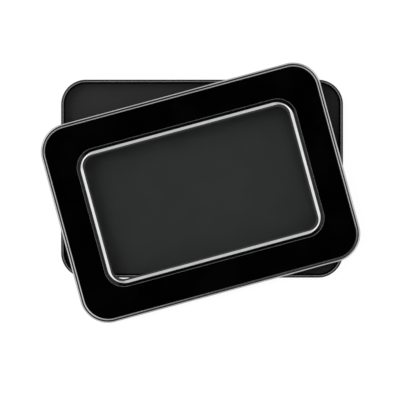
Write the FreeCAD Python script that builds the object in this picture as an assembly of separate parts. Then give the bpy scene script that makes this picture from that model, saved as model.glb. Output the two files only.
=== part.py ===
# Palette tin with a slip lid: a drawn tray with a magnetic sheet on its floor, and a lid with a framed
# window. The lid lies loose across the tray, turned and slid a little towards the front.
# Millimetres, +Z up. The origin is the middle of the plane that the tray stands on, and X runs along the
# tray's long side.
import FreeCAD, Part
import math
import os

from FreeCAD import Vector

# Tinplate of both pressings, and the roll that stiffens their rims
tin_thickness = 0.35
curl_diameter = 2.2
curl_tip_gap = 0.2

# Tray, measured over its walls
tray_length = 210.0
tray_width = 147.5
tray_height = 12.0
tray_corner_radius = 18.6
tray_draw_radius = 2.0

# Bead pressed out of the tray's floor, which the tray stands on
foot_inset = 5.0
foot_crest_width = 3.0
foot_depth = 0.6
foot_bend_radius = 1.5
foot_corner_radius = 7.0

# Magnetic sheet on the floor, and the bonding layer under it
floor_sheet_thickness = 0.8
floor_sheet_edge_gap = 0.9
floor_bond_thickness = 0.15
floor_bond_inset = 1.0

# Lid, which slips over the tray's walls
lid_slip_clearance = 0.3
lid_height = 9.0
lid_shoulder_radius = 1.6

# Border pressed down round the window: a small step in the lid's flat panel, then a ledge to the cut edge
window_margin = 21.15
border_width = 2.5
border_step_run = 0.1
border_step_slope = 40.0
border_ledge_slope = 10.0
border_bend_radius = 0.5

# Bezel: a channel-section frame bonded under the cut edge, with its bright face sloping in to the pane
window_corner_radius = 10.0
bezel_thickness = 0.4
bezel_face_width = 2.35
bezel_slope = 40.0
bezel_bend_radius = 0.5
bezel_flange_gap = 0.4
bezel_lower_flange = 3.5
bezel_bond_gap = 0.1

# Clear pane under the bezel, and the tape that holds it there, which shows as a dark lip inside the bezel
pane_thickness = 0.5
tape_thickness = 0.15
tape_inset = 0.3
tape_lip = 1.1

# How the lid lies on the tray
lid_turn = 15.15
lid_shift_x = -1.1
lid_shift_y = -10.45
lid_rest_gap = 0.3

# Places that follow from the sizes above. A reach is counted outwards from a rectangle through the
# centres of the rounded corners, so one reach goes all the way round.
tray_half = (tray_length / 2, tray_width / 2)
tray_core = [half - tray_corner_radius for half in tray_half]
floor_reach = tray_corner_radius - tray_draw_radius
floor_top = foot_depth + tin_thickness
sheet_reach = floor_reach - floor_sheet_edge_gap
sheet_bottom = floor_top + floor_bond_thickness

foot_bend = math.degrees(math.acos(1 - foot_depth / (2 * foot_bend_radius)))
foot_flank_width = 2 * foot_bend_radius * math.sin(math.radians(foot_bend))
foot_width = foot_crest_width + 2 * foot_flank_width
foot_reach = foot_corner_radius + foot_width
foot_core = [half - foot_inset - foot_reach for half in tray_half]

lid_reach = tray_corner_radius + lid_slip_clearance + tin_thickness
panel_reach = lid_reach - lid_shoulder_radius
panel_bottom = lid_height - tin_thickness
panel_middle = lid_height - tin_thickness / 2

cut_reach = window_corner_radius + bezel_face_width
border_reach = cut_reach + border_width
window_core = [core + lid_reach - window_margin - border_reach for core in tray_core]

curl_radius = (curl_diameter - tin_thickness) / 2
curl_turn = 360 - math.degrees(math.acos(1 - 2 * (tin_thickness + curl_tip_gap) / curl_diameter))


def to_left(heading):
    """Unit vector to the left of a heading in degrees, in a section's plane."""
    angle = math.radians(heading)
    return Vector(-math.sin(angle), 0, math.cos(angle))


def ahead(heading):
    """Unit vector along a heading in degrees, in a section's plane."""
    return to_left(heading - 90)


def after_bend(point, heading, radius, turn):
    """Where the middle of a sheet comes out of a bend, positive to the left."""
    side = math.copysign(radius, turn)
    return point + (to_left(heading) - to_left(heading + turn)) * side


def bent_sheet(start, heading, steps, thickness):
    """Section of a bent sheet in the XZ plane, from a walk along its middle.

    Each step is a straight length, then a bend of a middle radius and an angle, positive to the left.
    """
    sides = (thickness / 2, -thickness / 2)
    edges = ([], [])
    point = start
    start_offset = to_left(heading) * sides[0]
    for length, radius, turn in steps:
        straight_end = point + ahead(heading) * length
        centre = straight_end + to_left(heading) * math.copysign(radius, turn)
        for side, run in zip(sides, edges):
            if length > 0:
                offset = to_left(heading) * side
                run.append(Part.LineSegment(point + offset, straight_end + offset).toShape())
            if turn:
                swing = side - math.copysign(radius, turn)
                bend = [centre + to_left(heading + turn * share) * swing for share in (0, 0.5, 1)]
                run.append(Part.Arc(*bend).toShape())
        point = after_bend(straight_end, heading, radius, turn)
        heading += turn
    end_offset = to_left(heading) * sides[0]
    start_cap = Part.LineSegment(start - start_offset, start + start_offset).toShape()
    end_cap = Part.LineSegment(point + end_offset, point - end_offset).toShape()
    return Part.Face(Part.Wire([start_cap] + edges[0] + [end_cap] + edges[1][::-1]))


def carry_round(section, core):
    """Solid of a section carried round a rectangle: along its four sides and about its four corners.

    The section lies in the XZ plane, with X counted outwards from the rectangle.
    """
    up = Vector(0, 0, 1)
    pieces = []
    for quarter in range(4):
        reach, run = (core[0], core[1]) if quarter % 2 == 0 else (core[1], core[0])
        corner_point = Vector(reach, run, 0)
        side = section.translated(Vector(reach, -run, 0)).extrude(Vector(0, 2 * run, 0))
        corner = section.translated(corner_point).revolve(corner_point, up, 90)
        for piece in (side, corner):
            piece.rotate(Vector(0, 0, 0), up, 90 * quarter)
            pieces.append(piece)
    return pieces[0].multiFuse(pieces[1:]).removeSplitter()


def rounded_plate(core, reach, bottom, thickness):
    """Plate whose edge stays at one reach from a rectangle, so its corners are round."""
    size = [2 * (half + reach) for half in core]
    plate = Part.makeBox(size[0], size[1], thickness, Vector(-size[0] / 2, -size[1] / 2, bottom))
    uprights = [edge for edge in plate.Edges if abs(edge.tangentAt(edge.FirstParameter).z) > 0.5]
    return plate.makeFillet(reach, uprights)


def make_base_tray():
    """Tray: floor with a pressed-out foot bead, drawn wall, and a rim rolled inwards."""
    floor_middle = foot_depth + tin_thickness / 2
    wall_run = tray_height - curl_diameter / 2 - foot_depth - tray_draw_radius
    wall_steps = [
        (0, tray_draw_radius - tin_thickness / 2, 90),
        (wall_run, curl_radius, curl_turn),
    ]
    wall = bent_sheet(Vector(floor_reach, 0, floor_middle), 0, wall_steps, tin_thickness)
    foot_steps = [
        (0, foot_bend_radius, -foot_bend),
        (0, foot_bend_radius, foot_bend),
        (foot_crest_width, foot_bend_radius, foot_bend),
        (0, foot_bend_radius, -foot_bend),
    ]
    foot = bent_sheet(Vector(foot_corner_radius, 0, floor_middle), 0, foot_steps, tin_thickness)
    floor = rounded_plate(tray_core, floor_reach, foot_depth, tin_thickness)
    floor = floor.cut(rounded_plate(foot_core, foot_reach, foot_depth, tin_thickness))
    pieces = [
        floor,
        carry_round(foot, foot_core),
        rounded_plate(foot_core, foot_corner_radius, foot_depth, tin_thickness),
    ]
    return carry_round(wall, tray_core).multiFuse(pieces).removeSplitter()


def make_lid_shell():
    """Lid: flat panel with a window, pressed border round it, drawn wall, and a rim rolled outwards."""
    skirt_run = lid_height - lid_shoulder_radius - curl_diameter / 2
    skirt_steps = [
        (0, lid_shoulder_radius - tin_thickness / 2, -90),
        (skirt_run, curl_radius, curl_turn),
    ]
    skirt = bent_sheet(Vector(panel_reach, 0, panel_middle), 0, skirt_steps, tin_thickness)
    border_start, border_steps = border_walk()[:2]
    border = bent_sheet(border_start, 180, border_steps, tin_thickness)
    panel = rounded_plate(tray_core, panel_reach, panel_bottom, tin_thickness)
    panel = panel.cut(rounded_plate(window_core, border_reach, panel_bottom, tin_thickness))
    pieces = [panel, carry_round(border, window_core)]
    return carry_round(skirt, tray_core).multiFuse(pieces).removeSplitter()


def border_walk():
    """Start and steps of the lid's section round the window, and the middle of its cut edge."""
    down_step = 180 + border_step_slope
    down_ledge = 180 + border_ledge_slope
    start = Vector(border_reach, 0, panel_middle)
    step_start = after_bend(start, 180, border_bend_radius, border_step_slope)
    step_end = step_start + ahead(down_step) * border_step_run
    ledge_start = after_bend(step_end, down_step, border_bend_radius, down_ledge - down_step)
    ledge_run = (cut_reach - ledge_start.x) / ahead(down_ledge).x
    cut_edge = ledge_start + ahead(down_ledge) * ledge_run
    steps = [
        (0, border_bend_radius, border_step_slope),
        (border_step_run, border_bend_radius, down_ledge - down_step),
        (ledge_run, 0, 0),
    ]
    return start, steps, cut_edge


def bezel_walk():
    """Start and steps of the bezel's section, and the centre of its nose.

    The upper flange lies along the underside of the lid's ledge and ends under its cut edge. The face runs
    on as far as brings the nose to the sight opening, and the lower flange turns back under it.
    """
    border_steps, cut_edge = border_walk()[1:]
    ledge_run = border_steps[-1][0]
    down_ledge = 180 + border_ledge_slope
    down_face = 180 + bezel_slope
    upper_flange = ledge_run - bezel_flange_gap
    drop = tin_thickness / 2 + bezel_bond_gap + bezel_thickness / 2
    flange_end = cut_edge + to_left(down_ledge) * drop
    face_start = after_bend(flange_end, down_ledge, bezel_bend_radius, down_face - down_ledge)
    nose_middle = window_corner_radius + bezel_thickness / 2 + bezel_bend_radius
    face_end_reach = nose_middle - bezel_bend_radius * to_left(down_face).x
    face_run = (face_end_reach - face_start.x) / ahead(down_face).x
    nose_centre = face_start + ahead(down_face) * face_run + to_left(down_face) * bezel_bend_radius
    start = flange_end - ahead(down_ledge) * upper_flange
    steps = [
        (upper_flange, bezel_bend_radius, down_face - down_ledge),
        (face_run, bezel_bend_radius, 360 - down_face),
        (bezel_lower_flange, 0, 0),
    ]
    return start, steps, nose_centre


def make_window_pieces():
    """Bezel, tape and pane, which are stacked downwards from the lid's border."""
    start, steps, nose_centre = bezel_walk()
    bezel = bent_sheet(start, 180 + border_ledge_slope, steps, bezel_thickness)
    seat_reach = nose_centre.x + bezel_lower_flange
    seat_height = nose_centre.z - bezel_bend_radius - bezel_thickness / 2
    tape_bottom = seat_height - tape_thickness
    tape = rounded_plate(window_core, seat_reach - tape_inset, tape_bottom, tape_thickness)
    tape = tape.cut(rounded_plate(window_core, window_corner_radius - tape_lip, tape_bottom, tape_thickness))
    pane_bottom = tape_bottom - pane_thickness
    return {
        "window_bezel": carry_round(bezel, window_core),
        "window_tape": tape,
        "window_pane": rounded_plate(window_core, seat_reach, pane_bottom, pane_thickness),
    }


def laid_on_tray(piece):
    """Lid piece turned and moved from its own frame to where the lid lies on the tray."""
    piece.rotate(Vector(0, 0, 0), Vector(0, 0, 1), lid_turn)
    piece.translate(Vector(lid_shift_x, lid_shift_y, tray_height + lid_rest_gap))
    return piece


def make_nodes():
    """Every piece by name, in its place."""
    nodes = {
        "base_tray": make_base_tray(),
        "sheet_adhesive": rounded_plate(
            tray_core, sheet_reach - floor_bond_inset, floor_top, floor_bond_thickness
        ),
        "magnetic_sheet": rounded_plate(tray_core, sheet_reach, sheet_bottom, floor_sheet_thickness),
    }
    lid_pieces = {"lid_shell": make_lid_shell(), **make_window_pieces()}
    for name, piece in lid_pieces.items():
        nodes[name] = laid_on_tray(piece)
    return nodes


os.makedirs("parts", exist_ok=True)
for name, shape in make_nodes().items():
    solid = shape.Solids[0]
    solid.exportStep(f"parts/{name}.step")
    box = solid.BoundBox
    print(
        f"{name}: {len(shape.Solids)} solid, valid {solid.isValid()}, {solid.Volume:.1f} mm3,"
        f" x {box.XMin:.2f} to {box.XMax:.2f}, y {box.YMin:.2f} to {box.YMax:.2f},"
        f" z {box.ZMin:.2f} to {box.ZMax:.2f}"
    )
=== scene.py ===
# %% [markdown]
# # A palette tin with a window in its lid
#
# The object is a flat black tin for paint pans. Its tray stands on the table with a magnetic sheet
# on its floor, and its lid, which has a clear framed window, lies loose and turned across it. The
# CAD model holds every piece at its real size, and this lesson gives the pieces the surfaces and
# finishes that the eye expects.
#
# The model could be rebuilt here from nothing, but then pieces and joints would drift apart. So it
# is loaded as a fixed frame first, and every surface below takes its place from it.

import math

import bpy
import numpy as np
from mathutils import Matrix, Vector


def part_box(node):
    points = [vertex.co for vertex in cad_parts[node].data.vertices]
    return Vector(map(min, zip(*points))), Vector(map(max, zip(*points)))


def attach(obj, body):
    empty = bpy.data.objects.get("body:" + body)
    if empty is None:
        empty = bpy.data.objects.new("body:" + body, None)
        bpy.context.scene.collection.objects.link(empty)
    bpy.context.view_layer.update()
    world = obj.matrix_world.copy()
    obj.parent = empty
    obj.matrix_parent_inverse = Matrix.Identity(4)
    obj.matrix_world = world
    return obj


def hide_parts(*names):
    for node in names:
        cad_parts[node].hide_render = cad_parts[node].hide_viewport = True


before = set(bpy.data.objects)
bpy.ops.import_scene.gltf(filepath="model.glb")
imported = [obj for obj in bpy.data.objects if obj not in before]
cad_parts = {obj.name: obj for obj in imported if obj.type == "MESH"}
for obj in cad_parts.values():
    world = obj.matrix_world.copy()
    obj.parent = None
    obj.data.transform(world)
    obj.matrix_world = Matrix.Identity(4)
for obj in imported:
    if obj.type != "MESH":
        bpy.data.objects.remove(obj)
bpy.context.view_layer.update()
scene = bpy.context.scene

# %% [markdown]
# ## The camera
#
# The photograph looks straight down on the tin, and no wall shows on any side, so it was taken from
# far away. An orthographic camera would give that too, but the other views turn this camera round
# the tin, and a long lens keeps them natural. The lens and the width of the picture set how far up
# the camera hangs.

# %% Camera
MM = 0.001
PICTURE_CENTRE = (-1.54 * MM, -15.9 * MM)
PICTURE_WIDTH = 297.8 * MM
PICTURE_LEVEL = 14.0 * MM
LENS = 900.0
SENSOR = 36.0

camera_data = bpy.data.cameras.new("camera")
camera_data.lens = LENS
camera_data.sensor_width = SENSOR
camera_height = PICTURE_LEVEL + PICTURE_WIDTH * LENS / SENSOR
camera = bpy.data.objects.new("camera", camera_data)
camera.location = (*PICTURE_CENTRE, camera_height)
scene.collection.objects.link(camera)
scene.camera = camera
scene.view_settings.view_transform = "Standard"
print(f"camera {camera_height:.3f} m up")

# %% [markdown]
# ## Small helpers for shader nodes
#
# Every finish here is a tree of nodes. Written out one link at a time, a tree hides its idea, so
# these helpers let a node be written like a call: its inputs are plain values, or the outputs of
# other nodes.


# %% Node helpers
PLAIN_NOISE, FINE_NOISE, FINEST_NOISE = 2.0, 3.0, 4.0
MIX_COLOURS, MIX_RESULT = slice(6, 8), 2


def node(tree, kind, inputs=(), **settings):
    """One shader node. Inputs map a socket's name or number to a value or to another node's output."""
    made = tree.nodes.new("ShaderNode" + kind)
    for name, value in settings.items():
        setattr(made, name, value)
    for key, value in dict(inputs).items():
        if isinstance(value, bpy.types.NodeSocket):
            tree.links.new(value, made.inputs[key])
        else:
            made.inputs[key].default_value = value
    return made


def calc(tree, operation, *values):
    """Output of one Math node."""
    return node(tree, "Math", enumerate(values), operation=operation).outputs[0]


def fade(tree, value, low, high, start=0.0, end=1.0):
    """Smooth step: start below low, end above high, and a cubic ease between them."""
    ends = {"Value": value, "From Min": low, "From Max": high, "To Min": start, "To Max": end}
    return node(tree, "MapRange", ends, interpolation_type="SMOOTHSTEP").outputs["Result"]


def blend(tree, share, start, end):
    """Value that eases from start to end while a share goes from 0 to 1."""
    return fade(tree, share, 0.0, 1.0, start, end)


def lumps(tree, place, size, turn=0.0, detail=PLAIN_NOISE):
    """Smooth noise from 0 to 1 whose lumps measure size along each axis, turned about the vertical."""
    sizes = {"Vector": place, "Scale": size, "Rotation": (0.0, 0.0, turn)}
    vector = node(tree, "Mapping", sizes, vector_type="TEXTURE").outputs[0]
    return node(tree, "TexNoise", {"Vector": vector, "Scale": 1.0, "Detail": detail}).outputs["Fac"]


def mix_colour(tree, share, first, second):
    """Colour between two, each a tuple or another node's output."""
    made = node(tree, "Mix", {"Factor": share}, data_type="RGBA")
    for socket, colour in zip(made.inputs[MIX_COLOURS], (first, second)):
        if isinstance(colour, bpy.types.NodeSocket):
            tree.links.new(colour, socket)
        else:
            socket.default_value = (*colour, 1.0)
    return made.outputs[MIX_RESULT]


def bump(tree, height, depth):
    """Normals of a fine relief: its height runs from 0 to 1, and depth is how deep that is."""
    return node(tree, "Bump", {"Height": height, "Distance": depth}).outputs[0]


def new_finish(name):
    """A new material, its empty node tree, and the Object coordinates that its patterns read."""
    material = bpy.data.materials.new(name)
    material.use_nodes = True
    material.node_tree.nodes.clear()
    place = node(material.node_tree, "TexCoord").outputs["Object"]
    return material, material.node_tree, place


def even(size):
    """The same size along all three axes."""
    return (size, size, size)


print("node helpers ready")

# %% [markdown]
# ## The studio
#
# Black gloss and bright metal show the room more than their own colour. The lid's flat panel is
# pure black in the photograph, so what hangs straight above it is dark. The floor is shaded along
# its left and back walls, and so is the left and back of what shows through the window, so the key
# light stands to the left and a little behind. What lies in the lid's shade is still grey, so a
# second box hangs close beside the camera. The sloped metal shows pale walls. Lamps could play
# those parts, but they stand close and light each corner differently. Here the surrounding sky does
# it, as a formula of direction, the same for every point of the tin.
#
# Two angles off straight up, one to the side and one to the back, tell which soft box a direction
# meets. The height tells how near it is to the pale walls. They are brightest in the corners, where
# two walls light each other, and where the squares of a direction's two level parts multiply to at
# most a quarter. A bright box would burn out in bare metal, so mirrors show the two boxes as pale
# cloth. What the camera sees directly, past the tin, is plain white.

# %% Studio light
KEY_LIGHT = 4.0
KEY_SIDE = (-46, -16)
KEY_DEPTH = (-8, 34)
TOP_LIGHT = 4.0
TOP_SIDE = (6, 20)
TOP_DEPTH = (-13, 25)
BOX_EDGE = 3
BOX_IN_MIRRORS = 0.17
WALL_FADE = (0.84, 0.97)
WALL_LIGHT_SIDES = 0.96
WALL_LIGHT_ENDS = 0.62
WALL_LIGHT_CORNERS = 0.5
CORNER_PEAK = 0.25

scene.world = bpy.data.worlds.new("studio")
scene.world.use_nodes = True
sky = scene.world.node_tree
sky.nodes.clear()


def between(angle, ends):
    """1 between two angles, which are given in degrees, with a soft edge at both."""
    low, high = (
        fade(sky, angle, math.radians(end - BOX_EDGE), math.radians(end + BOX_EDGE)) for end in ends
    )
    return calc(sky, "SUBTRACT", low, high)


def soft_box(sides, depths, light):
    """Light of one soft box: all of it between two angles to the side and two to the back."""
    inside = calc(sky, "MULTIPLY", between(to_side, sides), between(to_back, depths))
    return calc(sky, "MULTIPLY", inside, light)


toward = node(sky, "SeparateXYZ", {0: node(sky, "TexCoord").outputs["Generated"]}).outputs
to_side = calc(sky, "ARCTAN2", toward["X"], toward["Z"])
to_back = calc(sky, "ARCTAN2", toward["Y"], toward["Z"])
key_box = soft_box(KEY_SIDE, KEY_DEPTH, KEY_LIGHT)
top_box = soft_box(TOP_SIDE, TOP_DEPTH, TOP_LIGHT)
boxes = calc(sky, "ADD", key_box, top_box)
sideways = calc(sky, "MULTIPLY", toward["X"], toward["X"])
endways = calc(sky, "MULTIPLY", toward["Y"], toward["Y"])
cornerways = calc(sky, "MULTIPLY", sideways, endways)
corner_light = calc(sky, "MULTIPLY", cornerways, WALL_LIGHT_CORNERS / CORNER_PEAK)
side_light = blend(sky, sideways, WALL_LIGHT_ENDS, WALL_LIGHT_SIDES)
wall_light = calc(sky, "ADD", side_light, corner_light)
wall_share = fade(sky, toward["Z"], *WALL_FADE, start=1.0, end=0.0)
walls = calc(sky, "MULTIPLY", wall_share, wall_light)
ray = node(sky, "LightPath").outputs
box_share = blend(sky, ray["Is Glossy Ray"], 1.0, BOX_IN_MIRRORS)
studio_light = calc(sky, "ADD", calc(sky, "MULTIPLY", boxes, box_share), walls)
seen = calc(sky, "MAXIMUM", ray["Is Camera Ray"], ray["Is Transmission Ray"])
lit_sky = node(sky, "Background", {"Strength": studio_light}).outputs[0]
white_sky = node(sky, "Background", {"Color": (1, 1, 1, 1), "Strength": 1.0}).outputs[0]
sky_mix = node(sky, "MixShader", {0: seen, 1: lit_sky, 2: white_sky}).outputs[0]
node(sky, "OutputWorld", {"Surface": sky_mix})
print(f"studio with a key of {KEY_LIGHT} and a top light of {TOP_LIGHT}")

# %% [markdown]
# ## The floor
#
# The tin stands on a white sheet that fades out of sight. A bright matte floor alone would come out
# a pale grey, so for the rays that show it, most of it is plain white, and the rest stays matte to
# keep the tin's soft shadow. In mirrors the whole floor glows only a pale grey: a painted shade that
# stands for the tin's shade close under the rims.

# %% Floor
FLOOR_HALF = 4.0
FLOOR_DROP = 0.02 * MM
FLOOR_WHITE = 0.92
FLOOR_GLOW_SHARE = 0.85
FLOOR_GLOW = 1.08
FLOOR_PAINTED_SHADE_IN_MIRRORS = 0.35

floor_finish = bpy.data.materials.new("floor_white")
floor_finish.use_nodes = True
tree = floor_finish.node_tree
tree.nodes.clear()
ray = node(tree, "LightPath").outputs
shown = calc(tree, "MAXIMUM", ray["Is Camera Ray"], ray["Is Transmission Ray"])
shown = calc(tree, "MAXIMUM", shown, ray["Is Glossy Ray"])
matte = node(tree, "BsdfDiffuse", {"Color": (FLOOR_WHITE, FLOOR_WHITE, FLOOR_WHITE, 1)}).outputs[0]
# Mirrors see the floor dimmed everywhere: painted shade for the tin's shade under its rims.
mirrored = calc(tree, "GREATER_THAN", ray["Is Glossy Ray"], ray["Is Transmission Ray"])
glow_with_painted_shade = blend(tree, mirrored, FLOOR_GLOW, FLOOR_PAINTED_SHADE_IN_MIRRORS)
glow = node(tree, "Emission", {"Strength": glow_with_painted_shade}).outputs[0]
glow_share = calc(tree, "MULTIPLY", shown, FLOOR_GLOW_SHARE)
floor_mix = node(tree, "MixShader", {0: glow_share, 1: matte, 2: glow}).outputs[0]
node(tree, "OutputMaterial", {"Surface": floor_mix})

corners = np.array([(-1, -1, 0), (1, -1, 0), (1, 1, 0), (-1, 1, 0)]) * FLOOR_HALF
floor_mesh = bpy.data.meshes.new("floor")
floor_mesh.from_pydata((corners - (0, 0, FLOOR_DROP)).tolist(), [], [(0, 1, 2, 3)])
floor_mesh.materials.append(floor_finish)
floor = bpy.data.objects.new("floor", floor_mesh)
scene.collection.objects.link(floor)
print(f"floor {2 * FLOOR_HALF} m square")

# %% [markdown]
# ## Bent sheet, as rows of numbers
#
# The tray, the lid and the window's frame are thin metal, bent along their whole edge. A modeller
# could extrude and bevel them, but their bright rims are rolls of two millimetres, and a mirror
# shows every flat spot. So each piece starts as the line that runs in the middle of its metal:
# straight here, then round a bend of some radius and angle.
#
# One row of numbers stands for one point of that line. It holds the rectangle through the corner
# centres that the point goes round, its reach outwards from that rectangle, its height, its
# heading, and how much it bends.

# %% Middle line of a bent sheet
QUARTER = math.pi / 2
BEND_STEP = math.radians(7)
FEWEST_BEND_STEPS = 3
CORE, POINT, HEADING, BEND = slice(0, 2), slice(2, 4), 4, 5


def along(heading):
    """Unit vectors along headings in radians, in the plane of reach and height."""
    return np.stack([np.cos(heading), np.sin(heading)], axis=-1)


def line_rows(core, points, headings, bend=0.0):
    """Rows of a middle line, all on one core rectangle."""
    points = np.atleast_2d(points)
    count = len(points)
    parts = [np.broadcast_to(core, (count, 2)), points, np.broadcast_to(headings, count)]
    return np.column_stack([*parts, np.broadcast_to(bend, count)])


def after_bend(point, heading, radius, turn):
    """Where a bend comes out: its centre is a radius to the side, and the point swings round it."""
    side = np.copysign(radius, turn)[..., None]
    return point + side * (along(heading + QUARTER) - along(heading + turn + QUARTER))


def bent_line(core, start, heading, steps):
    """Middle line of a sheet that goes straight for a length, then round a bend, step after step.

    A point of a bend is the start of the bend, plus the radius times the difference between the sideways
    vectors there and here. Bend is the sine of pi times the share of the bend that is behind, with the
    turn's sign.
    """
    point = np.array(start, float)
    rows = [line_rows(core, point, heading)]
    for length, radius, turn in steps:
        if length:
            point = point + length * along(heading)
            rows.append(line_rows(core, point, heading))
        if turn:
            count = max(FEWEST_BEND_STEPS, math.ceil(abs(turn) / BEND_STEP))
            share = np.linspace(0, 1, count + 1)[1:]
            bend_points = after_bend(point, heading, radius, turn * share)
            swell = math.copysign(1, turn) * np.sin(math.pi * share)
            rows.append(line_rows(core, bend_points, heading + turn * share, swell))
            point = bend_points[-1]
            heading = heading + turn
    return np.vstack(rows)


print(f"bends are cut every {math.degrees(BEND_STEP):.0f} degrees")

# %% [markdown]
# ## From the middle line to a skin
#
# Metal has two faces and a cut edge. The middle line moved to its left by half the thickness is one
# face, moved to its right it is the other, and a flattened half round closes the edge, because a
# sheared edge is never quite sharp. That outline is then carried round the rounded rectangle.
#
# Blender can average normals from faces, but next to a wide flat panel an averaged normal tilts and
# the panel looks dented. Here every normal is known from the formula, so it is written into the
# mesh instead.

# %% Faces and edges of a sheet
EDGE_STEPS = 6
EDGE_BULGE = 0.35
REACH, HEIGHT, LEAN, LIFT = slice(2, 3), slice(3, 4), slice(4, 5), slice(5, 6)
RUB_AND_HIGHLIGHT, FACE, ACROSS = 6, 7, 8


def rounded_edge(row, heading, half):
    """Rows round a cut edge, from the sheet's left face to its right one.

    A point at angle b is the end of the line, plus half the thickness times cos b to the left and a
    flattened sin b ahead. The normal of such an ellipse is the same sum with the flattening on the other
    term.
    """
    angle = np.linspace(0, math.pi, EDGE_STEPS + 1)[1:-1, None]
    left, ahead = along(heading + QUARTER), along(heading)
    points = row[POINT] + half * (np.cos(angle) * left + EDGE_BULGE * np.sin(angle) * ahead)
    normals = EDGE_BULGE * np.cos(angle) * left + np.sin(angle) * ahead
    normals /= np.linalg.norm(normals, axis=1, keepdims=True)
    flags = np.zeros((len(points), 2))
    return np.column_stack([np.broadcast_to(row[CORE], points.shape), points, normals, flags])


def sheet_face(line, half, side):
    """Rows of one face: the line moved sideways, to the left for side 1 and to the right for side -1.

    A face rubs where it bulges, which is where the line bends away from it, and most where it faces up
    or down. That mark is partly real wear and partly a painted highlight along the bends.
    """
    normals = side * along(line[:, HEADING] + QUARTER)
    points = line[:, POINT] + half * normals
    # Partly real wear, partly a painted highlight on the bulging bends.
    rub_and_highlight = np.clip(-side * line[:, BEND], 0, 1) * np.abs(normals[:, 1])
    face = np.full(len(line), 0.0 if side > 0 else 1.0)
    return np.column_stack([line[:, CORE], points, normals, rub_and_highlight, face])


def sheet_outline(line, thickness, closed):
    """Rows round a sheet's section: left face, cut edge, right face, and a second edge if it is closed.

    The last column is the distance walked over the section, which fine lines in a finish can follow.
    """
    half = thickness / 2
    parts = [sheet_face(line, half, 1), rounded_edge(line[-1], line[-1, HEADING], half)]
    parts.append(sheet_face(line, half, -1)[::-1])
    if closed:
        parts.append(rounded_edge(line[0], line[0, HEADING] + math.pi, half))
    rows = np.vstack(parts)
    strides = np.diff(rows[:, POINT], axis=0, prepend=rows[:1, POINT])
    return np.column_stack([rows, np.linalg.norm(strides, axis=1).cumsum()])


print(f"cut edges bulge by {EDGE_BULGE} of half the sheet")

# %% [markdown]
# ## Carrying an outline round a rounded rectangle
#
# Every piece of this tin is a rounded rectangle seen from above. A station on that loop is a corner
# of the core rectangle, or a place between two corners, and a direction that it faces. The core
# gives the place, the reach goes outwards along that direction, and the height goes up. So one
# outer product of rows and stations is the whole surface, with no loop over its points.

# %% Stations and skins
CORNERS = 4
CORNER_STEPS = 28
SIDE_STEPS = 14


def loop_stations():
    """Corner signs and facing directions of every station, once round anticlockwise.

    In a corner the sign stays and the direction turns by a quarter. On the side after it the direction
    stays and the sign slides to the next corner's.
    """
    quarter = np.arange(CORNERS)[:, None] * QUARTER
    signs = np.sign(along(quarter + QUARTER / 2))
    turning = quarter + np.linspace(0, QUARTER, CORNER_STEPS + 1)
    slide = np.linspace(0, 1, SIDE_STEPS + 1)[1:-1][None, :, None]
    side_signs = signs + slide * (np.roll(signs, -1, axis=0) - signs)
    corner_signs = np.broadcast_to(signs, (*turning.shape, 2))
    staying = np.broadcast_to(quarter + QUARTER, side_signs.shape[:2])
    station_signs = np.concatenate([corner_signs, side_signs], axis=1).reshape(-1, 2)
    return station_signs, along(np.column_stack([turning, staying]).ravel())


SIGNS, FACING = loop_stations()


def carried_round(rows):
    """Points and normals of rows carried round.

    A point is its core times the station's signs, plus its reach times the facing direction, at its
    height. A normal leans along the facing direction and keeps its lift.
    """
    shape = (len(rows), len(SIGNS), 1)
    flat = rows[:, None, CORE] * SIGNS + rows[:, None, REACH] * FACING
    lean = rows[:, None, LEAN] * FACING
    heights = np.broadcast_to(rows[:, None, HEIGHT], shape)
    lifts = np.broadcast_to(rows[:, None, LIFT], shape)
    return np.concatenate([flat, heights], axis=2), np.concatenate([lean, lifts], axis=2)


def centre_points(rows):
    """The first and last rows drawn in to the middle, which close a plate above and below."""
    ends = rows[[0, -1]]
    points = np.column_stack([np.zeros((2, 2)), ends[:, HEIGHT]])
    normals = np.column_stack([np.zeros((2, 2)), ends[:, LIFT]])
    return points, normals


def skin_faces(count, closed):
    """Point numbers of the quads between neighbouring rows and stations, and of the fans in the middle."""
    stations = len(SIGNS)
    number = np.arange(count * stations).reshape(count, stations)
    rows = np.vstack([number, number[:1]]) if closed else number
    here, there = rows[:-1], rows[1:]
    quads = np.stack([here, there, np.roll(there, -1, 1), np.roll(here, -1, 1)], axis=-1)
    if closed:
        return quads.reshape(-1, 4).tolist()
    first, last = number[0], number[-1]
    top = np.full(stations, number.size)
    bottom = top + 1
    fans = np.concatenate([
        np.stack([top, first, np.roll(first, -1)], axis=-1),
        np.stack([last, bottom, np.roll(last, -1)], axis=-1),
    ])
    return quads.reshape(-1, 4).tolist() + fans.tolist()


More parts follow.
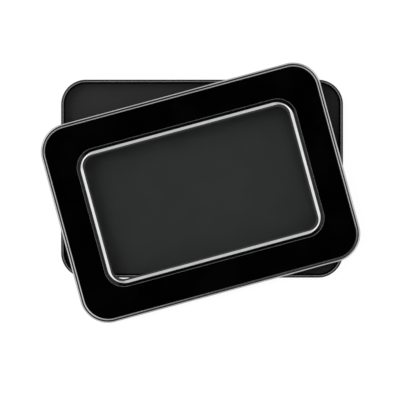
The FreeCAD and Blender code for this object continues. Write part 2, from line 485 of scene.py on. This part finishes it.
def skin(name, rows, closed, finishes, turn=0.0, shift=(0.0, 0.0, 0.0), wear_and_highlight=1.0):
    """Object made of an outline carried round, turned about the vertical and shifted into its place.

    The rows' face number picks the finish. Rub times wear, both partly a painted highlight, and across,
    become attributes for the finishes.
    """
    points, normals = (grid.reshape(-1, 3) for grid in carried_round(rows))
    if not closed:
        points, normals = (np.vstack(pair) for pair in zip((points, normals), centre_points(rows)))
    cosine, sine = math.cos(turn), math.sin(turn)
    turned = np.array([(cosine, sine, 0), (-sine, cosine, 0), (0, 0, 1)])
    points, normals = points @ turned + shift, normals @ turned
    mesh = bpy.data.meshes.new(name)
    mesh.from_pydata(points.tolist(), [], skin_faces(len(rows), closed))
    for label, column in (("rub_and_highlight", rows[:, RUB_AND_HIGHLIGHT, None] * wear_and_highlight), ("across", rows[:, ACROSS, None])):
        grid = np.broadcast_to(column, (len(rows), len(SIGNS)))
        values = np.zeros(len(points), np.float32)
        values[: grid.size] = grid.ravel()
        mesh.attributes.new(label, "FLOAT", "POINT").data.foreach_set("value", values)
    for finish in finishes:
        mesh.materials.append(finish)
    if len(finishes) > 1:
        slots = np.repeat(rows[:, FACE].astype(np.int32), len(SIGNS))
        mesh.polygons.foreach_set("material_index", slots[: len(mesh.polygons)])
    mesh.shade_smooth()
    mesh.normals_split_custom_set_from_vertices(normals.tolist())
    piece = bpy.data.objects.new(name, mesh)
    scene.collection.objects.link(piece)
    return piece


def stand_for(piece, node_name, body):
    """The piece rides on a body and stands in for a CAD node, which is hidden. How well they agree is
    printed.
    """
    low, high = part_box(node_name)
    places = np.empty(len(piece.data.vertices) * 3, np.float32)
    piece.data.vertices.foreach_get("co", places)
    places = places.reshape(-1, 3)
    gaps = np.abs(np.array([places.min(0) - low, places.max(0) - high])).max()
    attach(piece, body)
    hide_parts(node_name)
    print(f"{piece.name}: {len(piece.data.polygons)} faces, within {gaps / MM:.3f} mm of {node_name}")


print(f"{len(SIGNS)} stations round each piece")

# %% [markdown]
# ## Black lacquer
#
# Tins like this are stamped from sheet that was lacquered flat and stoved. The coat is so dark that
# its colour is almost nothing, and what makes it lacquer is its gloss: a faint orange peel from the
# rollers, soft smears where hands have wiped it, and hairlines. A single black with a low roughness
# would look like a hole in the picture, so each of those is a small noise of its own.
#
# Bends rub against fingers and the other half of the tin, and the coat wears through to metal there
# first. The rub attribute marks the bends that bulge, and a fine noise breaks the wear into flecks.
# That bared metal is partly real wear and partly a painted highlight: it gives the lid's shoulder
# and the tray's roll their bright lines.

# %% Lacquer finish
LACQUER_DEEP = (0.0004, 0.0004, 0.0004)
LACQUER_SMEARED = (0.0012, 0.0012, 0.0012)
TIN_COLOUR = (0.80, 0.80, 0.81)
LACQUER_IOR = 1.5
PEEL_SIZE = 1.1 * MM
PEEL_DEPTH = 0.0012 * MM
SMEAR_SIZE = 26.0 * MM
SMEAR_EDGE = (0.35, 0.75)
LACQUER_ROUGHNESS = (0.035, 0.07)
HAIRLINE_SIZE = (14.0 * MM, 0.09 * MM, 14.0 * MM)
HAIRLINE_TURNS = (0.35, -0.9, 1.4)
HAIRLINE_EDGE = (0.70, 0.78)
HAIRLINE_ROUGHNESS = 0.08
HAIRLINE_DEPTH_SHARE = 0.3
FLECK_SIZE = 0.3 * MM
FLECK_SHARE = 0.35
WEAR_WITHOUT_FLECKS = 0.67
WEAR_AND_HIGHLIGHT_EDGE = (0.50, 0.75)
WORN_ROUGHNESS = 0.12


def lacquer_finish():
    """Gloss black: smears and hairlines drive its roughness, peel its bump; rub bares metal as wear and as
    a painted highlight.
    """
    material, tree, place = new_finish("black_lacquer")
    smears = fade(tree, lumps(tree, place, even(SMEAR_SIZE), detail=FINEST_NOISE), *SMEAR_EDGE)
    hairs = 0.0
    for turn in HAIRLINE_TURNS:
        more_hairs = fade(tree, lumps(tree, place, HAIRLINE_SIZE, turn), *HAIRLINE_EDGE)
        hairs = calc(tree, "ADD", hairs, more_hairs)
    rub_and_highlight = node(tree, "Attribute", attribute_name="rub_and_highlight").outputs["Fac"]
    flecks = lumps(tree, place, even(FLECK_SIZE), detail=FINEST_NOISE)
    patchy = calc(tree, "MULTIPLY_ADD", flecks, FLECK_SHARE, WEAR_WITHOUT_FLECKS)
    # Bared metal: partly real wear, partly a painted highlight along the bends.
    worn_and_highlight = fade(tree, calc(tree, "MULTIPLY", rub_and_highlight, patchy), *WEAR_AND_HIGHLIGHT_EDGE)
    coat = mix_colour(tree, smears, LACQUER_DEEP, LACQUER_SMEARED)
    roughness = blend(tree, smears, *LACQUER_ROUGHNESS)
    roughness = calc(tree, "MULTIPLY_ADD", hairs, HAIRLINE_ROUGHNESS, roughness)
    roughness = calc(tree, "MULTIPLY_ADD", worn_and_highlight, WORN_ROUGHNESS, roughness)
    scratches = calc(tree, "MULTIPLY", hairs, HAIRLINE_DEPTH_SHARE)
    peel = calc(tree, "SUBTRACT", lumps(tree, place, even(PEEL_SIZE)), scratches)
    surface = node(tree, "BsdfPrincipled", {
        "Base Color": mix_colour(tree, worn_and_highlight, coat, TIN_COLOUR),
        "Metallic": worn_and_highlight,
        "Roughness": roughness,
        "IOR": LACQUER_IOR,
        "Normal": bump(tree, peel, PEEL_DEPTH),
    })
    node(tree, "OutputMaterial", {"Surface": surface.outputs[0]})
    return material


black_lacquer = lacquer_finish()
print("lacquer:", len(black_lacquer.node_tree.nodes), "nodes")

# %% [markdown]
# ## The tray
#
# The tray is one pressing. Its floor carries a bead pressed downwards, which it stands on, its wall
# is drawn up, and the rim is rolled inwards so that no cut edge meets a finger. The middle line
# starts near the middle of the floor, runs down into the bead and up again, then out to the wall
# and round the roll. The roll ends just before it would touch the wall.

# %% Tray
TIN = 0.35 * MM
CURL_DIAMETER = 2.2 * MM
CURL_TIP_GAP = 0.2 * MM
TRAY_CORNER = 18.6 * MM
TRAY_DRAW = 2.0 * MM
FOOT_INSET = 5.0 * MM
FOOT_CREST = 3.0 * MM
FOOT_DEPTH = 0.6 * MM
FOOT_BEND_RADIUS = 1.5 * MM
FOOT_CORNER = 7.0 * MM
FLAT_SHARES = np.array([0.05, 0.25, 0.5, 0.75, 0.97])
RIM_WEAR_AND_HIGHLIGHT = 0.82

tray_half = np.array(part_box("base_tray")[1][:2])
tray_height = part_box("base_tray")[1][2]
tray_core = tray_half - TRAY_CORNER
floor_middle = FOOT_DEPTH + TIN / 2
floor_reach = TRAY_CORNER - TRAY_DRAW
curl_radius = (CURL_DIAMETER - TIN) / 2
curl_turn = 2 * math.pi - math.acos(1 - 2 * (TIN + CURL_TIP_GAP) / CURL_DIAMETER)


def flat_from_middle(core, reach, height):
    """Rows that spread over a flat plate, from near its middle to near its edge."""
    points = np.column_stack([FLAT_SHARES * reach, np.full(len(FLAT_SHARES), height)])
    rows = line_rows(core, points, 0.0)
    rows[:, CORE] *= FLAT_SHARES[:, None]
    return rows


def tray_line():
    """Middle line of the tray: flat floor, foot bead, flat floor again, wall, and the roll of the rim."""
    foot_bend = math.acos(1 - FOOT_DEPTH / (2 * FOOT_BEND_RADIUS))
    foot_width = FOOT_CREST + 4 * FOOT_BEND_RADIUS * math.sin(foot_bend)
    foot_core = tray_half - FOOT_INSET - FOOT_CORNER - foot_width
    foot_steps = [
        (0, FOOT_BEND_RADIUS, -foot_bend),
        (0, FOOT_BEND_RADIUS, foot_bend),
        (FOOT_CREST, FOOT_BEND_RADIUS, foot_bend),
        (0, FOOT_BEND_RADIUS, -foot_bend),
    ]
    wall_run = tray_height - CURL_DIAMETER / 2 - FOOT_DEPTH - TRAY_DRAW
    wall_steps = [
        (0, TRAY_DRAW - TIN / 2, QUARTER),
        (wall_run, curl_radius, curl_turn),
    ]
    return np.vstack([
        flat_from_middle(foot_core, FOOT_CORNER, floor_middle),
        bent_line(foot_core, (FOOT_CORNER, floor_middle), 0.0, foot_steps),
        bent_line(tray_core, (floor_reach, floor_middle), 0.0, wall_steps),
    ])


tray_rows = sheet_outline(tray_line(), TIN, False)
# The roll's bared metal is partly real wear and partly a painted highlight along the rim.
tray_rows[:, RUB_AND_HIGHLIGHT] *= RIM_WEAR_AND_HIGHLIGHT
tray_pressing = skin("tray_pressing", tray_rows, False, [black_lacquer])
stand_for(tray_pressing, "base_tray", "tray")

# %% [markdown]
# ## The magnetic sheet
#
# Tin pans stay put on a sheet of rubber filled with magnet powder. It is matte and nearly black,
# with the fine grain of a calendered sheet and slow patches where the powder is denser. Matte
# rubber still has a weak, wide shine, so its specular is turned down, not off. As a shape it is a
# plate with rounded corners, and the same outline and stations make it: a middle line that simply
# runs flat to the edge.

# %% Rubber finish and magnetic sheet
RUBBER_DARK = (0.0221, 0.0224, 0.0224)
RUBBER_LIGHT = (0.0288, 0.0291, 0.0291)
RUBBER_SHINE = 0.25
RUBBER_SHADE_EDGE = (0.3, 0.7)
RUBBER_ROUGHNESS = (0.72, 0.88)
GRAIN_SIZE = 0.28 * MM
GRAIN_DEPTH = 0.006 * MM
GRAIN_EDGE = (0.2, 0.8)
GRAIN_SHARE = 0.6
PATCH_SIZE = 18.0 * MM
SHEET_EDGE_GAP = 0.9 * MM


def rubber_finish():
    """Matte rubber: grain and patches share its colour, and the grain its roughness and bump."""
    material, tree, place = new_finish("magnet_rubber")
    grain = lumps(tree, place, even(GRAIN_SIZE), detail=FINE_NOISE)
    patches = lumps(tree, place, even(PATCH_SIZE), detail=FINE_NOISE)
    patch_shade = calc(tree, "MULTIPLY", patches, 1 - GRAIN_SHARE)
    shade = calc(tree, "MULTIPLY_ADD", grain, GRAIN_SHARE, patch_shade)
    light = fade(tree, shade, *RUBBER_SHADE_EDGE)
    surface = node(tree, "BsdfPrincipled", {
        "Base Color": mix_colour(tree, light, RUBBER_DARK, RUBBER_LIGHT),
        "Roughness": fade(tree, grain, *GRAIN_EDGE, *RUBBER_ROUGHNESS),
        "Specular IOR Level": RUBBER_SHINE,
        "Normal": bump(tree, grain, GRAIN_DEPTH),
    })
    node(tree, "OutputMaterial", {"Surface": surface.outputs[0]})
    return material


def plate_line(core, reach, low, high):
    """Middle line of a plate, and its thickness: flat to an edge whose bulge ends at the reach."""
    thickness = high - low
    edge = reach - EDGE_BULGE * thickness / 2
    height = (low + high) / 2
    rows = flat_from_middle(core, edge, height)
    return np.vstack([rows, line_rows(core, (edge, height), 0.0)]), thickness


magnet_rubber = rubber_finish()
sheet_low, sheet_high = (corner[2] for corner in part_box("magnetic_sheet"))
line, thickness = plate_line(tray_core, floor_reach - SHEET_EDGE_GAP, sheet_low, sheet_high)
magnet_floor = skin("magnet_floor", sheet_outline(line, thickness, False), False, [magnet_rubber])
stand_for(magnet_floor, "magnetic_sheet", "tray")

# %% [markdown]
# ## Bare tin
#
# Only the outside of the lid is lacquered. Inside it is bare tinplate, and because the rim is
# rolled outwards the bare side comes to the outside of the roll: that is the bright line round the
# lid. Tinplate keeps the fine straight lines of the rolling mill and a slightly cloudy bloom. The
# lines follow the sheet, so their pattern is turned with the lid.

# %% Tin finish
LID_TURN = math.radians(15.15)
MILL_LINE_SIZE = (20.0 * MM, 0.12 * MM, 20.0 * MM)
MILL_LINE_DEPTH = 0.0008 * MM
LINE_EDGE = (0.25, 0.75)
TIN_ROUGHNESS = (0.10, 0.18)
BLOOM_SIZE = 12.0 * MM
BLOOM_EDGE = (0.3, 0.7)
TIN_DULL = (0.78, 0.78, 0.78)
TIN_BRIGHT = (0.90, 0.90, 0.90)


def tin_finish():
    """Bare tinplate: bloom shades its colour, and mill lines drive its roughness and bump."""
    material, tree, place = new_finish("rolled_tin")
    lines = lumps(tree, place, MILL_LINE_SIZE, LID_TURN, detail=FINE_NOISE)
    bloom = fade(tree, lumps(tree, place, even(BLOOM_SIZE), detail=FINEST_NOISE), *BLOOM_EDGE)
    surface = node(tree, "BsdfPrincipled", {
        "Base Color": mix_colour(tree, bloom, TIN_DULL, TIN_BRIGHT),
        "Metallic": 1.0,
        "Roughness": fade(tree, lines, *LINE_EDGE, *TIN_ROUGHNESS),
        "Normal": bump(tree, lines, MILL_LINE_DEPTH),
    })
    node(tree, "OutputMaterial", {"Surface": surface.outputs[0]})
    return material


rolled_tin = tin_finish()
print("tin:", len(rolled_tin.node_tree.nodes), "nodes")

# %% [markdown]
# ## The lid
#
# The lid is the second pressing: a flat panel with a window, a small step and a ledge pressed down
# round that window, a rounded shoulder, a skirt that slips over the tray, and a rim rolled
# outwards. Its middle line runs from the cut edge of the window outwards. The ledge and step go
# round the window's core, the rest round the tray's, and the flat panel between them is simply the
# surface from one to the other.
#
# The lid lies turned on the tray. It is shaped square in its own frame, and its place on the tray
# comes last. The bared metal on its shoulder differs round the lid. That is partly wear and mostly
# a painted highlight where a bright light would catch the shoulder: most at the front left, and
# least at the front right.

# %% Lid
SLIP_CLEARANCE = 0.3 * MM
LID_SHOULDER = 1.6 * MM
WINDOW_MARGIN = 21.15 * MM
WINDOW_CORNER = 10.0 * MM
BORDER_WIDTH = 2.5 * MM
BORDER_STEP_RUN = 0.1 * MM
BORDER_STEP_SLOPE = math.radians(40)
BORDER_LEDGE_SLOPE = math.radians(10)
BORDER_BEND_RADIUS = 0.5 * MM
BORDER_WEAR_AND_HIGHLIGHT = 0.78
# Painted highlight round the shoulder, given as wear: a larger value brightens that side.
SKIRT_WEAR_AND_HIGHLIGHT = {
    "back right": 1.06,
    "back": 1.08,
    "back left": 0.95,
    "left": 1.08,
    "front left": 1.40,
    "front": 0.88,
    "front right": 0.85,
    "right": 1.10,
}
BEZEL_FACE_WIDTH = 2.35 * MM
CUT_CORNER_EASE = 0.95 * MM
CUT_OVERLAP = 0.14 * MM

lid_low, lid_high = (np.array(corner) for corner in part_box("lid_shell"))
lid_height = lid_high[2] - lid_low[2]
lid_shift = (*(lid_low + lid_high)[:2] / 2, lid_low[2])
lid_reach = TRAY_CORNER + SLIP_CLEARANCE + TIN
panel_middle = lid_height - TIN / 2
cut_reach = WINDOW_CORNER + BEZEL_FACE_WIDTH
border_reach = cut_reach + BORDER_WIDTH
window_core = tray_core + lid_reach - WINDOW_MARGIN - border_reach


def border_line():
    """Middle line of the window's border, and the ledge's length.

    It goes from the flat panel over the step and down the ledge to the cut.
    """
    start = np.array((border_reach, panel_middle))
    down_step, down_ledge = math.pi + BORDER_STEP_SLOPE, math.pi + BORDER_LEDGE_SLOPE
    step_end = after_bend(start, math.pi, BORDER_BEND_RADIUS, BORDER_STEP_SLOPE)
    step_end = step_end + BORDER_STEP_RUN * along(down_step)
    ledge_start = after_bend(step_end, down_step, BORDER_BEND_RADIUS, down_ledge - down_step)
    ledge_run = (cut_reach - ledge_start[0]) / along(down_ledge)[0]
    steps = [
        (0, BORDER_BEND_RADIUS, BORDER_STEP_SLOPE),
        (BORDER_STEP_RUN, BORDER_BEND_RADIUS, down_ledge - down_step),
        (ledge_run, 0, 0),
    ]
    return bent_line(window_core, start, math.pi, steps), ledge_run


def turned_round(line):
    """The same middle line walked the other way: order, heading and bend all reverse."""
    back = line[::-1].copy()
    back[:, HEADING] -= math.pi
    back[:, BEND] *= -1
    return back


def eased_corners(rows, ease):
    """Rows with rounder corners, or with tighter ones where the ease is negative.

    The core shrinks by the ease and the reach grows by it, so the sides stay put. Headings stay too,
    because the normals need not follow so small a change.
    """
    rows = rows.copy()
    rows[:, CORE] -= ease
    rows[:, POINT] += (ease, 0)
    return rows


def lid_line():
    """Middle line of the lid: border from the cut outwards, shoulder, skirt and the roll of the rim.

    The border lies lower than the panel, where little rubs it, so its bends are marked less. The cut laps
    a little over the frame, and its corners are rounder.
    """
    skirt_run = lid_height - LID_SHOULDER - CURL_DIAMETER / 2
    skirt_steps = [
        (0, LID_SHOULDER - TIN / 2, -QUARTER),
        (skirt_run, curl_radius, curl_turn),
    ]
    shoulder_start = (lid_reach - LID_SHOULDER, panel_middle)
    skirt = bent_line(tray_core, shoulder_start, 0.0, skirt_steps)
    border = turned_round(border_line()[0])
    # Scales the border's bared metal, which is partly wear and partly a painted highlight.
    border[:, BEND] *= BORDER_WEAR_AND_HIGHLIGHT
    cut = eased_corners(border[:1], CUT_CORNER_EASE)
    cut[:, POINT] -= (CUT_OVERLAP, 0)
    return np.vstack([cut, border[1:], skirt])


def uneven_wear_and_highlight(rows):
    """Wear and painted highlight of every row at every station: uneven round the skirt, even on the border.

    The middles of corners and sides have the named wear, in the order of the stations, and a station
    between two middles has a wear between theirs. The rows of the skirt are those on the tray's core.
    """
    quarter = len(SIGNS) // CORNERS
    corner_and_side = (CORNER_STEPS / 2, quarter - SIDE_STEPS / 2)
    middles = np.add.outer(np.arange(CORNERS) * quarter, corner_and_side).ravel()
    wear_and_highlight = np.interp(np.arange(len(SIGNS)), middles, list(SKIRT_WEAR_AND_HIGHLIGHT.values()), period=len(SIGNS))
    return np.where(rows[:, :1] == tray_core[0], wear_and_highlight, 1.0)


lid_rows = sheet_outline(lid_line(), TIN, True)
lid_place = {"turn": LID_TURN, "shift": lid_shift}
lid_finishes = [black_lacquer, rolled_tin]
lid_wear_and_highlight = uneven_wear_and_highlight(lid_rows)
lid_pressing = skin("lid_pressing", lid_rows, True, lid_finishes, **lid_place, wear_and_highlight=lid_wear_and_highlight)
stand_for(lid_pressing, "lid_shell", "lid")

# %% [markdown]
# ## The window's frame
#
# A channel of bright metal is bonded under the cut edge. Its upper flange lies against the ledge,
# its face slopes in to the window, and at the nose it turns back under itself to carry the pane.
# The bright face is narrower in the corners than along the sides, because the cut above it is
# rounder there and the nose is tighter. The face is polished, so it shows the pale walls as one
# clean band, with only the faint lines of the forming rollers along it. Those lines run round the
# frame, which no flat pattern does, so they follow the distance walked over the section.

# %% Polished finish and window frame
BEZEL_SHEET = 0.4 * MM
BEZEL_SLOPE = math.radians(40)
BEZEL_BEND_RADIUS = 0.5 * MM
BEZEL_FLANGE_GAP = 0.4 * MM
BEZEL_LOWER_FLANGE = 3.5 * MM
BEZEL_BOND_GAP = 0.1 * MM
NOSE_CORNER_EASE = -1.6 * MM
ROLLER_LINE_SIZE = 0.07 * MM
ROLLER_DRIFT = 60.0 * MM
ROLLER_LINE_DEPTH = 0.0006 * MM
POLISH_ROUGHNESS = (0.09, 0.17)
POLISH_DULL = (0.86, 0.86, 0.865)
POLISH_BRIGHT = (0.95, 0.95, 0.955)


def polished_finish():
    """Polished tin: lines along the frame, from noise quick across its section and slow along it."""
    material, tree, place = new_finish("bright_tin")
    across = node(tree, "Attribute", attribute_name="across").outputs["Fac"]
    slow = node(tree, "SeparateXYZ", {0: place}).outputs
    walk = {"X": calc(tree, "DIVIDE", across, ROLLER_LINE_SIZE)}
    walk |= {axis: calc(tree, "DIVIDE", slow[there], ROLLER_DRIFT) for axis, there in zip("YZ", "XY")}
    vector = node(tree, "CombineXYZ", walk).outputs[0]
    lines = node(tree, "TexNoise", {"Vector": vector, "Scale": 1.0, "Detail": FINE_NOISE}).outputs["Fac"]
    bloom = fade(tree, lumps(tree, place, even(BLOOM_SIZE), detail=FINEST_NOISE), *BLOOM_EDGE)
    surface = node(tree, "BsdfPrincipled", {
        "Base Color": mix_colour(tree, bloom, POLISH_DULL, POLISH_BRIGHT),
        "Metallic": 1.0,
        "Roughness": fade(tree, lines, *LINE_EDGE, *POLISH_ROUGHNESS),
        "Normal": bump(tree, lines, ROLLER_LINE_DEPTH),
    })
    node(tree, "OutputMaterial", {"Surface": surface.outputs[0]})
    return material


def bezel_line():
    """Middle line of the frame, and the reach of its nose's middle.

    It goes along the upper flange under the ledge, down the face to the nose, and back out along the
    lower flange.
    """
    border, ledge_run = border_line()
    cut_edge = border[-1, POINT]
    down_ledge, down_face = math.pi + BORDER_LEDGE_SLOPE, math.pi + BEZEL_SLOPE
    drop = TIN / 2 + BEZEL_BOND_GAP + BEZEL_SHEET / 2
    flange_run = ledge_run - BEZEL_FLANGE_GAP
    flange_end = cut_edge + drop * along(down_ledge + QUARTER)
    face_start = after_bend(flange_end, down_ledge, BEZEL_BEND_RADIUS, down_face - down_ledge)
    nose_middle = WINDOW_CORNER + BEZEL_SHEET / 2 + BEZEL_BEND_RADIUS
    face_end = nose_middle - BEZEL_BEND_RADIUS * along(down_face + QUARTER)[0]
    face_run = (face_end - face_start[0]) / along(down_face)[0]
    flange_steps = [(flange_run, BEZEL_BEND_RADIUS, down_face - down_ledge)]
    flange_start = flange_end - flange_run * along(down_ledge)
    flange = bent_line(window_core, flange_start, down_ledge, flange_steps)
    nose_steps = [(0, BEZEL_BEND_RADIUS, 2 * math.pi - down_face), (BEZEL_LOWER_FLANGE, 0, 0)]
    nose_start = face_start + face_run * along(down_face)
    nose = bent_line(window_core, nose_start, down_face, nose_steps)
    return np.vstack([flange, eased_corners(nose, NOSE_CORNER_EASE)]), nose_middle


bright_tin = polished_finish()
bezel_middle, nose_middle = bezel_line()
bezel_rows = sheet_outline(bezel_middle, BEZEL_SHEET, True)
bezel_frame = skin("bezel_frame", bezel_rows, True, [bright_tin], **lid_place)
stand_for(bezel_frame, "window_bezel", "lid")

# %% [markdown]
# ## The clear pane
#
# The pane is a half millimetre of clear plastic, taped under the frame. Real glass bends light, and
# a renderer then has trouble finding the light that falls through it, so what lies below would go
# dark and noisy. The pane is glass only for rays that look at it, and lets the light itself pass.
# Wiping leaves faint streaks, which are a little rougher than the rest.

# %% Clear finish and pane
PANE_IOR = 1.49
PANE_TINT = (0.985, 0.99, 0.99, 1.0)
STREAK_SIZE = (60.0 * MM, 3.0 * MM, 60.0 * MM)
STREAK_TURN = 0.5
STREAK_EDGE = (0.35, 0.75)
STREAK_ROUGHNESS = (0.0, 0.02)


def clear_finish():
    """Clear plastic: glass to the rays that look at it, and nothing to the light that falls through."""
    material, tree, place = new_finish("clear_plastic")
    streaks = fade(tree, lumps(tree, place, STREAK_SIZE, STREAK_TURN, detail=FINEST_NOISE), *STREAK_EDGE)
    glass = node(tree, "BsdfPrincipled", {
        "Base Color": PANE_TINT,
        "Roughness": blend(tree, streaks, *STREAK_ROUGHNESS),
        "IOR": PANE_IOR,
        "Transmission Weight": 1.0,
    }).outputs[0]
    ray = node(tree, "LightPath").outputs
    through = node(tree, "BsdfTransparent", {"Color": PANE_TINT}).outputs[0]
    pane_mix = glass
    for light_ray in ("Is Glossy Ray", "Is Diffuse Ray", "Is Shadow Ray"):
        pane_mix = node(tree, "MixShader", {0: ray[light_ray], 1: pane_mix, 2: through}).outputs[0]
    node(tree, "OutputMaterial", {"Surface": pane_mix})
    return material


clear_plastic = clear_finish()
pane_low, pane_high = (corner[2] - lid_low[2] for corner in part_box("window_pane"))
line, thickness = plate_line(window_core, nose_middle + BEZEL_LOWER_FLANGE, pane_low, pane_high)
pane_rows = sheet_outline(line, thickness, False)
clear_pane = skin("clear_pane", pane_rows, False, [clear_plastic], **lid_place)
stand_for(clear_pane, "window_pane", "lid")

# %% [markdown]
# ## Bonding films
#
# Two films hold things together: one under the magnetic sheet, and a tape between the frame and the
# pane, which shows as a thin dark lip inside the frame. They are flat, their CAD shapes are right,
# and so they only get a finish: the dull black of acrylic tape, with its fine crinkle.

# %% Film finish
FILM_DARK = (0.018, 0.018, 0.0185)
FILM_LIGHT = (0.036, 0.036, 0.037)
FILM_SHADE_EDGE = (0.3, 0.7)
FILM_ROUGHNESS = (0.45, 0.65)
CRINKLE_SIZE = 0.8 * MM
CRINKLE_DEPTH = 0.01 * MM
CRINKLE_EDGE = (0.2, 0.8)


def film_finish():
    """Dull tape: one crinkle noise shades it, roughens it and bumps it."""
    material, tree, place = new_finish("adhesive_film")
    crinkle = lumps(tree, place, even(CRINKLE_SIZE), detail=FINEST_NOISE)
    surface = node(tree, "BsdfPrincipled", {
        "Base Color": mix_colour(tree, fade(tree, crinkle, *FILM_SHADE_EDGE), FILM_DARK, FILM_LIGHT),
        "Roughness": fade(tree, crinkle, *CRINKLE_EDGE, *FILM_ROUGHNESS),
        "Normal": bump(tree, crinkle, CRINKLE_DEPTH),
    })
    node(tree, "OutputMaterial", {"Surface": surface.outputs[0]})
    return material


adhesive_film = film_finish()
for film in ("sheet_adhesive", "window_tape"):
    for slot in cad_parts[film].material_slots:
        slot.material = adhesive_film
    print(f"{film}: {len(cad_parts[film].material_slots)} finish")
